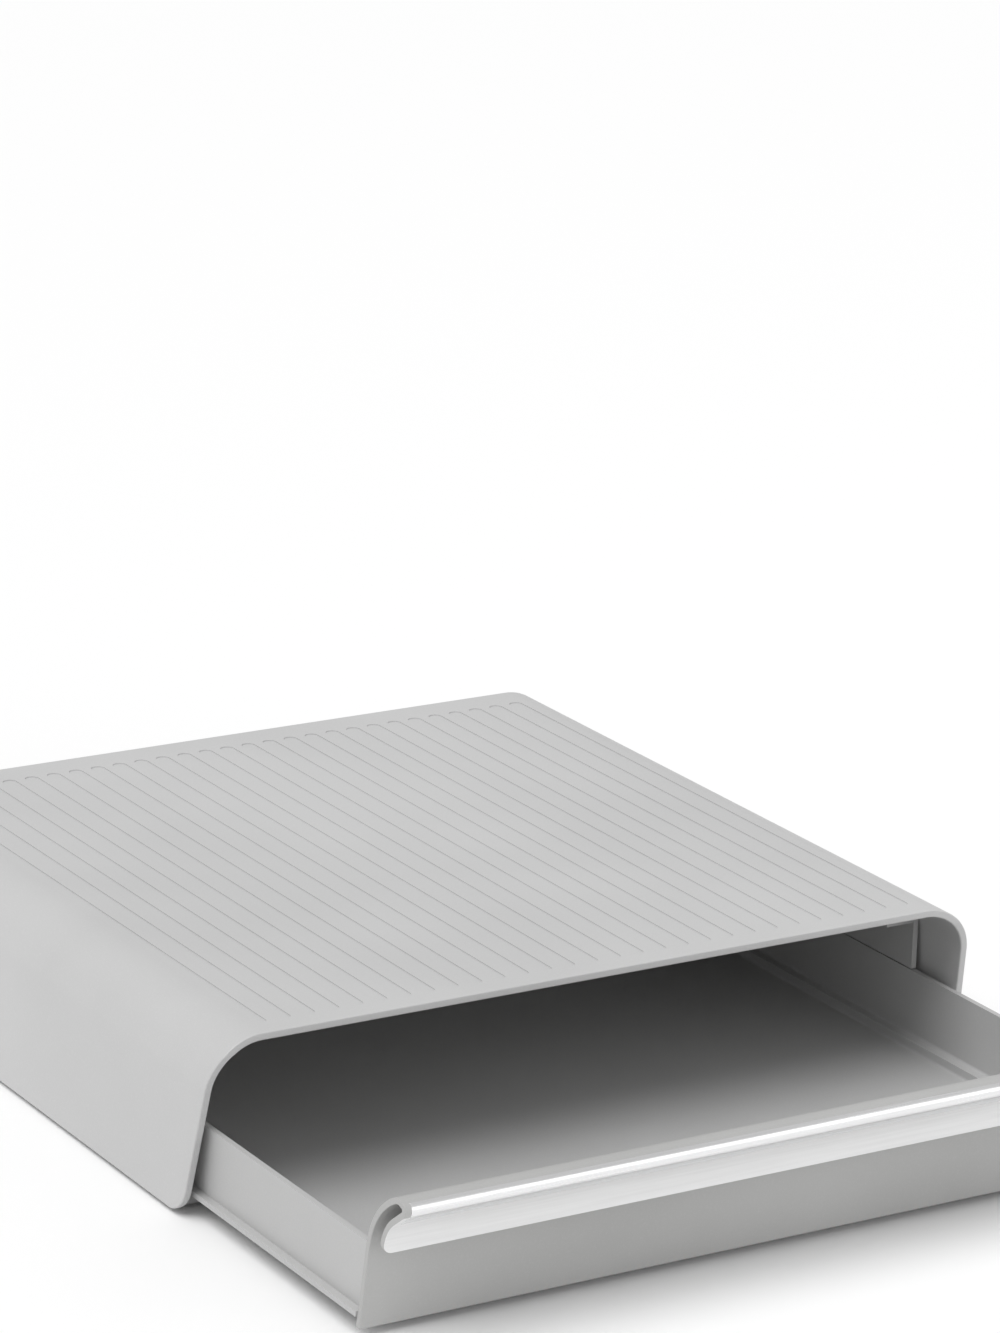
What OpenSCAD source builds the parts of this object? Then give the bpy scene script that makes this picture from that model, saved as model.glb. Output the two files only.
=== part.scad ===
// Low storage drawer for coffee pods, made to stand under the machine that uses them.
// A C-shaped shell stands on four rubber feet. A tray with a hooked front slides out of
// it on two runners, and is drawn part-way out.
// Frame: +X to the right, -Y to the front, +Z up, millimetres. The origin is on the table,
// at the middle of the space that the object takes up as drawn.

/* [Shell] */
// Outer width of the shell at the bottom edge of its side walls
shell_base_w = 343; // [320:1:380]
// Depth of the shell along its top
shell_d = 318; // [290:1:350]
// Height of the shell from the bottom edge of its walls to its top
shell_h = 71; // [68:0.5:84]
// Thickness of the shell's walls
wall_t = 3; // [2.4:0.1:3.6]
// Outer radius of the two long top corners
corner_r = 22; // [16:0.5:24]
// Outward lean of the side walls, going down, in degrees
flare_a = 4.7; // [2:0.1:6]
// Backward lean of the front edge, going down, in degrees
rake_a = 11.2; // [4:0.1:14]
// Height of the upright band at the top of the front edge
brow_h = 6.5; // [3:0.5:12]
// Radius of the lower front corners of the side walls
toe_r = 12; // [6:0.5:16]

/* [Top channels] */
// Number of shallow channels along the top
channel_count = 29; // [9:2:29]
// Distance from one channel to the next
channel_pitch = 10.06; // [8:0.02:10.1]
// Width of a channel
channel_w = 5.9; // [3:0.1:7]
// Depth of a channel
channel_deep = 0.5; // [0.3:0.1:1]
// Plain margin in front of the channels
channel_front = 9; // [6:0.5:20]
// Plain margin behind the channels
channel_rear = 14; // [6:0.5:20]

/* [Underside of the top] */
// Number of stiffening ribs under the top
rib_count = 5; // [3:2:5]
// Distance from one rib to the next
rib_pitch = 62; // [50:1:64]
// Thickness of a rib
rib_t = 1.8; // [1.2:0.1:2.4]
// Depth of a rib
rib_h = 7; // [4:0.5:9]
// Distance of the ribs from the shell's front and rear edges
rib_inset = 24; // [10:1:30]
// Diameter of a screw boss
boss_d = 7; // [6:0.2:8]

/* [Runners] */
// Width of a runner's ledge, measured at its top from the inner edge to the upright
ledge_w = 7.5; // [6.5:0.1:9]
// Height of the ledge above the bottom edge of the shell
ledge_h = 5.7; // [5:0.1:7]
// Thickness of the ledge and of its inner skirt
ledge_t = 2; // [1.6:0.1:2.4]
// Height of the upright that lies against the shell's wall
upright_h = 20; // [14:0.5:22]
// Thickness of the upright
upright_t = 1.6; // [1.2:0.1:2]
// Distance of the runners' front ends behind the shell's front edge
runner_setback = 8.8; // [6:0.2:16]
// Number of hollows under each ledge
hollow_count = 6; // [3:1:9]
// Number of catches on each wall that hold an upright down
catch_count = 4; // [2:1:5]
// Length of a catch
catch_l = 14; // [8:1:20]
// How far a catch stands out of the wall
catch_proud = 1.3; // [0.8:0.1:1.5]

/* [Guides] */
// Thickness of a guide
guide_t = 2.2; // [1.8:0.1:2.6]
// Width of a guide's top flange
guide_w = 15; // [13:0.5:18]
// Distance of the guides' front ends behind the shell's front edge
guide_setback = 29.5; // [20:0.5:50]
// Distance of a guide's end screws from its ends
guide_screw_inset = 22.5; // [15:0.5:40]
// Length of the stop tongue on a guide
tongue_l = 4; // [3:0.5:6]
// Thickness of the stop tongue
tongue_t = 1.5; // [1.2:0.1:1.6]
// Overlap in height of the stop tongue and the tray's stop
stop_overlap = 8; // [5:0.5:9]

/* [Rear panel] */
// Thickness of the rear panel
panel_t = 2.5; // [2:0.1:3]
// Depth of the rim round the panel's upper half
panel_rim_l = 4; // [3:0.5:5]
// Thickness of that rim
panel_rim_t = 2; // [1.6:0.1:2.4]
// Distance of each screw lug from the middle
lug_x = 85; // [75:1:100]
// Width of a screw lug
lug_w = 12; // [10:0.5:16]
// Distance of each rubber buffer from the middle
buffer_x = 100; // [40:1:140]
// Height of the buffers above the table
buffer_z = 22; // [16:1:30]
// Thickness of a buffer
buffer_t = 1.2; // [0.8:0.1:2]
// Diameter of a buffer
buffer_d = 9; // [7:0.5:12]
// Diameter of the stem that holds a buffer in the panel
buffer_stem_d = 3; // [2:0.2:4]

/* [Feet and screws] */
// How far the feet stand below the shell
foot_drop = 1.5; // [1:0.1:3]
// Diameter of a foot
foot_d = 7.8; // [6:0.1:8.4]
// Distance of a foot's centre from the end of its runner
foot_inset = 15; // [12:0.5:20]
// Depth of the pocket that holds a foot
foot_pocket = 1.2; // [0.8:0.1:1.6]
// Diameter of a screw's shank
screw_d = 2.3; // [2:0.1:2.8]
// Diameter of a screw's head
screw_head_d = 5.4; // [4.6:0.1:6]
// Height of a screw's head
screw_head_h = 1.7; // [1.2:0.1:2]
// Length of the screws that hold the guides and the rear panel
screw_l = 9; // [7:0.5:11]

/* [Tray] */
// Length of the tray from its front wall to its rear, along the floor
tray_l = 299; // [270:1:299]
// Thickness of the tray's walls and floor
tray_t = 2.2; // [1.8:0.1:2.6]
// Height of the tray's rim above the table
tray_rim_z = 36; // [30:0.5:38]
// Height of the lowered floor's underside above the table
tray_low_z = 3.7; // [3.2:0.1:4]
// How far the tray's flanges stand out of its side walls
flange_w = 3.1; // [2.6:0.1:3.6]
// Radius of the tray's rear corners
tray_corner_r = 8; // [5:0.5:14]
// Length of the stops on the tray's sides, near its rear
stop_l = 6; // [4:0.5:8]
// How far the stops stand out
stop_proud = 1.5; // [1.2:0.1:1.6]

/* [Drawer front] */
// Thickness of the front
front_t = 2.4; // [2:0.1:2.8]
// Height of the front's bottom edge above the table
front_low_z = 3.3; // [2.5:0.1:4.5]
// Forward lean of the front's straight part, in degrees
front_lean = 6.4; // [3:0.1:8]
// Height where the front starts to bend forward
bend_z = 32.4; // [31:0.1:34]
// Radius of the bend, on its front side
bend_r = 32.2; // [31:0.1:34]
// Lean of the front where the bend ends, in degrees
hook_a = 61; // [60:1:63]
// Radius of the crest above the bend, on its inner side
crest_r = 4.2; // [4:0.1:5]
// Lean of the front where the crest ends, in degrees
crest_a = 107; // [104:1:110]
// Length of each short straight before and behind the crest
crest_gap = 1; // [0.8:0.1:1.2]
// Inside radius of the nose, where the front turns back down
nose_r = 0.8; // [0.8:0.1:1]
// Lean of the straight part below the nose, in degrees
lip_a = 53; // [52:1:54]
// Length of that straight part
lip_l = 8; // [7:0.1:8.5]
// Radius of the lip's bend, on the side of the finger gap
lip_r = 19.6; // [18:0.1:21]
// Forward lean of the lip's lower end, in degrees
lip_low_a = 5; // [2:1:8]
// Gap between the end of the front and the shell's wall, at the bottom
front_gap = 2.9; // [2:0.1:4]
// Inward taper of the front's ends, going up, in degrees
front_taper = 2.8; // [1.5:0.1:4]
// Radius of the lower corners of the pull's lip
lip_corner_r = 4; // [2:0.5:8]
// Number of screws that hold the front to the tray
front_screw_count = 4; // [2:1:6]
// Distance from one of these screws to the next
front_screw_pitch = 90; // [40:1:90]
// Height of these screws above the table
front_screw_z = 21; // [16:0.5:26]

/* [Pull trim] */
// Thickness of the bright strip round the nose
trim_t = 0.8; // [0.5:0.1:1]
// How far the strip stands proud of the front
trim_proud = 0.2; // [0.1:0.05:0.4]
// Distance of the strip's ends from the ends of the front
trim_end = 2.5; // [2:0.5:12]
// Rear edge of the strip, as the lean of the nose there, in degrees
trim_rear_a = 122; // [115:1:140]
// Distance of the strip's lower edge above the lip's bend
trim_low = 0.5; // [0.3:0.1:3]

/* [Fits and travel] */
// How far the drawer is drawn out of its closed place
pull_out = 121; // [0:1:220]
// Whole travel from closed to the stops
travel = 230; // [180:1:240]
// Sliding clearance on flat faces
slide_gap = 0.3; // [0.2:0.05:0.5]
// Clearance at the sides of the lowered floor
side_gap = 0.5; // [0.4:0.05:0.8]
// Fitting clearance between pieces that are screwed or snapped together
fit_gap = 0.1; // [0.05:0.05:0.2]
// Least margin between neighbouring features
margin = 1; // [0.8:0.1:1.5]

/* [Hidden] */

$fn = 64;
corner_fn = 128;
arc_fn = 96;
small_fn = 32;
LEFT = -1;
RIGHT = 1;
shell_grey = [0.80, 0.80, 0.80];
tray_grey = [0.76, 0.76, 0.76];
front_grey = [0.70, 0.70, 0.71];
trim_silver = [0.90, 0.90, 0.92];
screw_steel = [0.60, 0.60, 0.62];
rubber_black = [0.15, 0.15, 0.16];

over = 1;                                  // overrun of cuts past a face
top_z = foot_drop + shell_h;
under_z = top_z - wall_t;
front_y0 = -shell_d / 2;
rear_y = shell_d / 2;
flare_t = tan(flare_a);
corner_z = top_z - corner_r;
corner_x = shell_base_w / 2 - corner_r * cos(flare_a)
    - (corner_z + corner_r * sin(flare_a) - foot_drop) * flare_t;

// Half-width of the shell's outline at height z, at a depth of inset inside its outside
function wall_x(z, inset) = corner_x + (corner_r - inset) * cos(flare_a)
    + (corner_z + (corner_r - inset) * sin(flare_a) - z) * flare_t;

// Height of the shell's corner at half-width x, at a depth of inset inside its outside
function arch_z(x, inset) = corner_z + sqrt(pow(corner_r - inset, 2) - pow(x - corner_x, 2));

// Front edge of the shell at height z
function front_y(z) = front_y0 + max(0, top_z - brow_h - z) * tan(rake_a);

// Runners
ledge_z = foot_drop + ledge_h;
upright_z = foot_drop + upright_h;
flange_z = ledge_z + slide_gap;
flange_x = wall_x(flange_z + tray_t, wall_t) - fit_gap - upright_t - slide_gap;
ledge_x = wall_x(ledge_z, wall_t) - fit_gap - upright_t - ledge_w;
runner_y = front_y(foot_drop) + runner_setback;
runner_rear = rear_y - panel_t;
runner_mid_x = (ledge_x + wall_x(foot_drop, wall_t)) / 2;
runner_mid_z = foot_drop + ledge_h / 2;
foot_ys = [runner_y + foot_inset, runner_rear - foot_inset];
solid_l = foot_inset + foot_d / 2 + ledge_t;

// Tray, all in its closed place
tray_x = flange_x - flange_w;
pan_x = ledge_x - side_gap;
pan_z = flange_z + tray_t;
face_y = front_y(front_low_z);
tray_rear = face_y + front_t + tray_l;
front_screw_y = back_y(front_screw_z);

// Front face and back face of the drawer front's straight part at height z
function face_at(z) = face_y - (z - front_low_z) * tan(front_lean);
function back_y(z) = face_at(z) + front_t / cos(front_lean);

// Guides
guide_z = arch_z(tray_x, wall_t) - slide_gap;
guide_low = tray_rim_z + side_gap;
guide_y = front_y0 + guide_setback;
guide_rear = rear_y - panel_t - panel_rim_l - margin;
guide_screw_x = tray_x - guide_w + boss_d / 2 + margin;
guide_screw_ys = [guide_y + guide_screw_inset, (guide_y + guide_rear) / 2, guide_rear - guide_screw_inset];
stop_y = tray_rear - tray_corner_r - stop_l;
stop_z = tray_rim_z - margin - stop_overlap;
tongue_rear = stop_y - travel - slide_gap;
lug_screw_y = rear_y - panel_t - panel_rim_l - boss_d / 2 - 2 * margin;

// Hooked profile of the drawer front: a is a lean forward of upright, in degrees
function along(a) = [-sin(a), cos(a)];
function facing(a) = [-cos(a), -sin(a)];
face_foot = [face_y, front_low_z];
bend_from = face_foot + along(front_lean) * (bend_z - front_low_z) / cos(front_lean);
bend_mid = bend_from + facing(front_lean) * bend_r;
bend_to = bend_mid - facing(hook_a) * bend_r;
crest_from = bend_to + along(hook_a) * crest_gap;
crest_mid = crest_from + facing(hook_a) * crest_r;
crest_to = crest_mid - facing(crest_a) * crest_r;
nose_from = crest_to + along(crest_a) * crest_gap;
nose_mid = nose_from + facing(crest_a) * nose_r;
nose_to = nose_mid + facing(lip_a) * nose_r;
lip_from = nose_to - along(lip_a) * lip_l;
trim_run = along(lip_a) * (lip_l - trim_low);
lip_mid = lip_from + facing(lip_a) * lip_r;
lip_end = lip_mid - facing(lip_low_a) * (lip_r - front_t / 2);
front_reach = nose_mid[0] - nose_r - front_t - trim_proud;

front_x = wall_x(front_low_z, wall_t) - front_gap;
pull_x = front_x - (bend_z - front_low_z) * tan(front_taper);

// Moves the object to its frame, and the drawer to where it is drawn
frame_y = -(front_reach - pull_out + rear_y + screw_head_h) / 2;
module in_place() { translate([0, frame_y, 0]) children(); }
module drawn_out() { translate([0, frame_y - pull_out, 0]) children(); }

// Extrudes an (x, z) outline from y0 to y1
module along_y(y0, y1) {
    translate([0, y1, 0]) rotate([90, 0, 0]) linear_extrude(y1 - y0) children();
}

// Extrudes a (y, z) outline from x0 to x1
module along_x(x0, x1) {
    translate([x0, 0, 0]) rotate([90, 0, 90]) linear_extrude(x1 - x0) children();
}

// Outline of the shell across its width, inset by a thickness and going down to low
module case_outline(inset, low) {
    r = corner_r - inset;
    shoulder_x = corner_x + r * cos(flare_a);
    shoulder_z = corner_z + r * sin(flare_a);
    for (side = [LEFT, RIGHT])
        translate([side * corner_x, corner_z]) circle(r, $fn = corner_fn);
    polygon([
        [-corner_x, corner_z + r], [corner_x, corner_z + r],
        [shoulder_x, shoulder_z], [wall_x(low, inset), low],
        [-wall_x(low, inset), low], [-shoulder_x, shoulder_z],
    ]);
}

// Outline of the shell seen from the side
module side_outline() {
    lean_z = foot_drop + toe_r * (1 - sin(rake_a));
    lean_y = front_y(lean_z);
    toe_y = lean_y + toe_r * cos(rake_a);
    translate([toe_y, foot_drop + toe_r]) circle(toe_r);
    polygon([
        [rear_y, foot_drop], [rear_y, top_z], [front_y0, top_z],
        [front_y0, top_z - brow_h], [lean_y, lean_z],
        [toe_y, foot_drop + toe_r], [toe_y, foot_drop],
    ]);
}

module channels() {
    y0 = front_y0 + channel_front + channel_w / 2;
    y1 = rear_y - channel_rear - channel_w / 2;
    for (i = [0:channel_count - 1])
        translate([(i - (channel_count - 1) / 2) * channel_pitch, 0, top_z - channel_deep])
            linear_extrude(channel_deep + over) {
                translate([-channel_w / 2, y0]) square([channel_w, y1 - y0]);
                for (y = [y0, y1])
                    translate([0, y]) circle(channel_w / 2, $fn = small_fn);
            }
}

// Places its child at every screw boss under the top
module at_bosses() {
    for (side = [LEFT, RIGHT]) {
        for (y = guide_screw_ys)
            translate([side * guide_screw_x, y, guide_z]) children();
        translate([side * lug_x, lug_screw_y, guide_z]) children();
    }
}

module ribs_and_bosses() {
    for (i = [0:rib_count - 1])
        translate([(i - (rib_count - 1) / 2) * rib_pitch - rib_t / 2,
                   front_y0 + rib_inset, under_z - rib_h])
            cube([rib_t, shell_d - 2 * rib_inset, rib_h + wall_t / 2]);
    at_bosses() cylinder(h = top_z - wall_t / 2 - guide_z, d = boss_d);
}

// Wedges that snap over the runners' uprights
module catches(side) {
    z0 = upright_z + fit_gap;
    rise = catch_proud * 2;
    pitch = (runner_rear - runner_y) / catch_count;
    for (i = [0:catch_count - 1]) {
        y = runner_y + (i + 0.5) * pitch;
        along_y(y - catch_l / 2, y + catch_l / 2)
            polygon([
                [side * (wall_x(z0, wall_t) + wall_t / 2), z0],
                [side * (wall_x(z0, wall_t) - catch_proud), z0],
                [side * wall_x(z0 + rise, wall_t), z0 + rise],
                [side * (wall_x(z0 + rise, wall_t) + wall_t / 2), z0 + rise],
            ]);
    }
}

module shell() {
    color(shell_grey) in_place() difference() {
        union() {
            intersection() {
                difference() {
                    along_y(front_y0 - over, rear_y + over) case_outline(0, foot_drop);
                    along_y(front_y0 - 2 * over, rear_y + 2 * over)
                        case_outline(wall_t, foot_drop - over);
                }
                along_x(-shell_base_w, shell_base_w) side_outline();
            }
            intersection() {
                ribs_and_bosses();
                along_y(front_y0, rear_y) case_outline(wall_t / 2, foot_drop);
            }
            for (side = [LEFT, RIGHT]) catches(side);
        }
        channels();
        at_bosses() translate([0, 0, -over]) cylinder(h = screw_l + over, d = screw_d + fit_gap);
    }
}

module rear_panel() {
    y0 = rear_y - panel_t;
    color(shell_grey) in_place() difference() {
        union() {
            along_y(y0, rear_y) case_outline(wall_t + fit_gap, foot_drop + fit_gap);
            intersection() {
                difference() {
                    along_y(y0 - panel_rim_l, y0 + panel_t / 2)
                        case_outline(wall_t + fit_gap, foot_drop);
                    along_y(y0 - panel_rim_l - over, y0 + panel_t)
                        case_outline(wall_t + fit_gap + panel_rim_t, foot_drop - over);
                }
                translate([-shell_base_w / 2, y0 - shell_d / 2, guide_low])
                    cube([shell_base_w, shell_d, shell_h]);
            }
            for (side = [LEFT, RIGHT])
                translate([side * lug_x - lug_w / 2, lug_screw_y - lug_w / 2, guide_z - guide_t])
                    cube([lug_w, y0 - lug_screw_y + lug_w / 2 + panel_t / 2, guide_t]);
        }
        for (side = [LEFT, RIGHT]) {
            translate([side * lug_x, lug_screw_y, guide_z - guide_t - over])
                cylinder(h = guide_t + 2 * over, d = screw_d + 4 * fit_gap);
            translate([side * runner_mid_x, rear_y + over, runner_mid_z]) rotate([90, 0, 0])
                cylinder(h = panel_t + 2 * over, d = screw_d + 4 * fit_gap);
            translate([side * buffer_x, rear_y + over, buffer_z]) rotate([90, 0, 0])
                cylinder(h = panel_t + 2 * over, d = buffer_stem_d + 2 * fit_gap);
        }
    }
}

module runner(side) {
    y_hollow = [runner_y + solid_l, runner_rear - solid_l];
    pitch = (y_hollow[1] - y_hollow[0] + ledge_t) / hollow_count;
    hollow_x = ledge_x + ledge_t;
    hollow_w = wall_x(ledge_z, wall_t) - upright_t - hollow_x - ledge_t / 2;
    color(tray_grey) in_place() difference() {
        along_y(runner_y, runner_rear) polygon([
            [side * ledge_x, foot_drop],
            [side * (wall_x(foot_drop, wall_t) - fit_gap), foot_drop],
            [side * (wall_x(upright_z, wall_t) - fit_gap), upright_z],
            [side * (wall_x(upright_z, wall_t) - fit_gap - upright_t), upright_z],
            [side * (wall_x(ledge_z, wall_t) - fit_gap - upright_t), ledge_z],
            [side * ledge_x, ledge_z],
        ]);
        for (i = [0:hollow_count - 1])
            translate([side * (hollow_x + hollow_w / 2) - hollow_w / 2,
                       y_hollow[0] + i * pitch, foot_drop - over])
                cube([hollow_w, pitch - ledge_t, ledge_h - ledge_t + over]);
        for (y = foot_ys)
            translate([side * runner_mid_x, y, foot_drop - over])
                cylinder(h = foot_pocket + over, d = foot_d + fit_gap);
        translate([side * runner_mid_x, runner_rear + over, runner_mid_z]) rotate([90, 0, 0])
            cylinder(h = screw_l + over, d = screw_d + fit_gap);
    }
}

module runner_left() { runner(LEFT); }
module runner_right() { runner(RIGHT); }

// L-shaped strip over the rim of the tray's side wall, which keeps the drawer level
module guide(side) {
    tongue_x = tray_x + slide_gap;
    tongue_top = tray_rim_z + tongue_l;
    color(tray_grey) in_place() difference() {
        union() {
            along_y(guide_y, guide_rear) polygon([
                [side * tray_x, guide_low], [side * tray_x, guide_z],
                [side * (tray_x - guide_w), guide_z], [side * (tray_x - guide_w), guide_z - guide_t],
                [side * (tray_x - guide_t), guide_z - guide_t], [side * (tray_x - guide_t), guide_low],
            ]);
            along_y(tongue_rear - tongue_l, tongue_rear) polygon([
                [side * (tray_x - guide_t / 2), guide_low], [side * tongue_x, guide_low],
                [side * tongue_x, stop_z + margin], [side * (tongue_x + tongue_t), stop_z + margin],
                [side * (tongue_x + tongue_t), tongue_top], [side * (tray_x - guide_t / 2), tongue_top],
            ]);
        }
        for (y = guide_screw_ys)
            translate([side * guide_screw_x, y, guide_z - guide_t - over])
                cylinder(h = guide_t + 2 * over, d = screw_d + 4 * fit_gap);
    }
}

module guide_left() { guide(LEFT); }
module guide_right() { guide(RIGHT); }

// Pan-headed screw with its shank up +Z and the seat of its head at z = 0
module screw(length, head_d) {
    rotate_extrude() polygon([
        [0, -screw_head_h], [head_d / 2 - screw_head_h / 2, -screw_head_h],
        [head_d / 2, -screw_head_h / 2], [head_d / 2, 0], [screw_d / 2, 0],
        [screw_d / 2, length - screw_d / 2], [0, length],
    ]);
}

module case_screws() {
    color(screw_steel) in_place() {
        at_bosses() translate([0, 0, -guide_t]) screw(screw_l, screw_head_d);
        for (side = [LEFT, RIGHT])
            translate([side * runner_mid_x, rear_y, runner_mid_z]) rotate([90, 0, 0])
                screw(screw_l, screw_head_d);
    }
}

module rear_buffers() {
    color(rubber_black) in_place()
        for (side = [LEFT, RIGHT])
            translate([side * buffer_x, rear_y - panel_t, buffer_z]) rotate([90, 0, 0])
                rotate_extrude() polygon([
                    [0, -panel_t], [buffer_stem_d / 2, -panel_t], [buffer_stem_d / 2, 0],
                    [buffer_d / 2, 0], [buffer_d / 2, buffer_t / 2],
                    [buffer_d / 2 - buffer_t / 2, buffer_t], [0, buffer_t],
                ]);
}

module foot(side, y) {
    color(rubber_black) in_place() translate([side * runner_mid_x, y, 0])
        rotate_extrude() polygon([
            [0, 0], [foot_d / 2 - foot_drop / 2, 0], [foot_d / 2, foot_drop / 2],
            [foot_d / 2, foot_drop + foot_pocket], [0, foot_drop + foot_pocket],
        ]);
}

module foot_front_left() { foot(LEFT, foot_ys[0]); }
module foot_front_right() { foot(RIGHT, foot_ys[0]); }
module foot_rear_left() { foot(LEFT, foot_ys[1]); }
module foot_rear_right() { foot(RIGHT, foot_ys[1]); }

// Side outline of a block of the tray from z0 to z1, set in from its outside by inset
module tray_side(inset, z0, z1) {
    shift = inset / cos(front_lean);
    polygon([
        [back_y(z0) + shift, z0], [tray_rear - inset, z0],
        [tray_rear - inset, z1], [back_y(z1) + shift, z1],
    ]);
}

// Plan outline of the tray at half-width x, with its rear corners rounded to r
module tray_plan(x, rear, r) {
    front = face_at(tray_rim_z) - front_t;
    translate([-x, front]) square([2 * x, rear - r - front]);
    translate([-x + r, front]) square([2 * (x - r), rear - front]);
    for (side = [LEFT, RIGHT])
        translate([side * (x - r), rear - r]) circle(r);
}

// Block of the tray: a side outline cut to a plan outline
module tray_block(x, inset, z0, z1) {
    intersection() {
        along_x(-x + inset, x - inset) tray_side(inset, z0, z1);
        translate([0, 0, z0 - over]) linear_extrude(z1 - z0 + 2 * over)
            tray_plan(x - inset, tray_rear - inset, tray_corner_r - inset);
    }
}

// Places its child at each front screw, +Z running forward along the screw
module at_front_screws() {
    for (i = [0:front_screw_count - 1])
        translate([(i - (front_screw_count - 1) / 2) * front_screw_pitch,
                   front_screw_y, front_screw_z])
            rotate([90 + front_lean, 0, 0]) children();
}

module tray() {
    color(tray_grey) drawn_out() difference() {
        union() {
            tray_block(tray_x, 0, flange_z, tray_rim_z);
            tray_block(pan_x, 0, tray_low_z, pan_z);
            along_x(-flange_x, flange_x) tray_side(0, flange_z, pan_z);
            for (side = [LEFT, RIGHT])
                translate([side * (tray_x + stop_proud / 2 - tray_t / 4) - stop_proud / 2 - tray_t / 4,
                           stop_y, stop_z])
                    cube([stop_proud + tray_t / 2, stop_l, stop_overlap]);
        }
        tray_block(tray_x, tray_t, pan_z, tray_rim_z + over);
        tray_block(pan_x, tray_t, tray_low_z + tray_t, pan_z + over);
        at_front_screws() translate([0, 0, -tray_t - over])
            cylinder(h = tray_t + 2 * over, d = boss_d + 2 * fit_gap);
    }
}

// Ring sector about a centre, from radius r0 to r1 and from angle a0 to a1
module sector(mid, r0, r1, a0, a1) {
    far = 2 * r1;
    steps = ceil((a1 - a0) / 60);
    translate(mid) intersection() {
        difference() {
            circle(r1, $fn = arc_fn);
            circle(r0, $fn = arc_fn);
        }
        polygon(concat([[0, 0]], [for (i = [0:steps]) let (a = a0 + (a1 - a0) * i / steps)
            [far * cos(a), far * sin(a)]]));
    }
}

// Disc inside the front's thickness that ties two stretches of its outline, p lying on the face
module tie(p, d) {
    translate(p + d * front_t / 2) circle(front_t / 3, $fn = small_fn);
}

// Straight strip of the front's thickness from p to q, on the side that d points to
module strip(p, q, d) {
    polygon([p, q, q + d * front_t, p + d * front_t]);
}

// The plate, the crest and the nose, as a (y, z) outline
module plate_outline() {
    strip(face_foot, bend_from, -facing(front_lean));
    sector(bend_mid, bend_r, bend_r + front_t, front_lean, hook_a);
    strip(bend_to, crest_from, -facing(hook_a));
    sector(crest_mid, crest_r, crest_r + front_t, hook_a, crest_a);
    strip(crest_to, nose_from, -facing(crest_a));
    sector(nose_mid, nose_r, nose_r + front_t, crest_a, 180 + lip_a);
    tie(bend_from, -facing(front_lean));
    tie(bend_to, -facing(hook_a));
    tie(crest_from, -facing(hook_a));
    tie(crest_to, -facing(crest_a));
    tie(nose_from, -facing(crest_a));
}

// The lip that hangs in front of the finger gap, as a (y, z) outline
module lip_outline() {
    strip(nose_to, lip_from, facing(lip_a));
    sector(lip_mid, lip_r - front_t, lip_r, lip_low_a, lip_a);
    translate(lip_end) circle(front_t / 2, $fn = small_fn);
    tie(nose_to, facing(lip_a));
    tie(lip_from, facing(lip_a));
}

// The nose out to radius r, filled, with the straight below it
module nose_fill(r) {
    translate(nose_mid) {
        circle(r, $fn = arc_fn);
        polygon([[0, 0], facing(lip_a) * r, facing(lip_a) * r - trim_run, -trim_run]);
    }
}

// The bright strip let into the outside of the front, as a (y, z) outline that rises over it
module trim_outline(rise) {
    far = 2 * front_t + 2 * rise + 2 * nose_r;
    intersection() {
        difference() {
            nose_fill(nose_r + front_t + rise);
            nose_fill(nose_r + front_t - trim_t);
        }
        translate(nose_mid) polygon([
            [0, 0], -facing(trim_rear_a) * far, [-far, 0],
            facing(lip_a) * far, facing(lip_a) * far - trim_run, -trim_run,
        ]);
    }
}

// Front view of the front: tapered ends up to the bend, upright above it
module front_view() {
    polygon([
        [-front_x, front_low_z], [front_x, front_low_z], [pull_x, bend_z],
        [pull_x, top_z], [-pull_x, top_z], [-pull_x, bend_z],
    ]);
}

// Front view of the lip, with its lower corners rounded
module lip_view() {
    low = lip_end[1] - front_t / 2;
    translate([-pull_x, low + lip_corner_r]) square([2 * pull_x, top_z]);
    translate([-pull_x + lip_corner_r, low]) square([2 * (pull_x - lip_corner_r), top_z]);
    for (side = [LEFT, RIGHT])
        translate([side * (pull_x - lip_corner_r), low + lip_corner_r]) circle(lip_corner_r);
}

module drawer_front() {
    y0 = front_reach - over;
    y1 = face_y + 2 * front_t;
    color(front_grey) drawn_out() difference() {
        union() {
            intersection() {
                along_x(-front_x, front_x) plate_outline();
                along_y(y0, y1) front_view();
            }
            intersection() {
                along_x(-pull_x, pull_x) lip_outline();
                along_y(y0, y1) lip_view();
            }
            at_front_screws() translate([0, 0, -tray_t + fit_gap])
                cylinder(h = tray_t + front_t / 2, d = boss_d);
        }
        along_x(-pull_x + trim_end, pull_x - trim_end) trim_outline(over);
        at_front_screws() translate([0, 0, -tray_t - over])
            cylinder(h = tray_t + over + front_t / 2, d = screw_d + fit_gap);
    }
}

module pull_trim() {
    color(trim_silver) drawn_out()
        along_x(-pull_x + trim_end, pull_x - trim_end) trim_outline(trim_proud);
}

module front_screws() {
    washer_d = boss_d + screw_head_h;
    color(screw_steel) drawn_out() at_front_screws() translate([0, 0, -tray_t])
        screw(tray_t + front_t / 2 - fit_gap, washer_d);
}

shell();
rear_panel();
runner_left();
runner_right();
guide_left();
guide_right();
case_screws();
rear_buffers();
foot_front_left();
foot_front_right();
foot_rear_left();
foot_rear_right();
tray();
drawer_front();
pull_trim();
front_screws();
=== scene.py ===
import math

import bmesh
import bpy
from mathutils import Matrix, Vector


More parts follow.
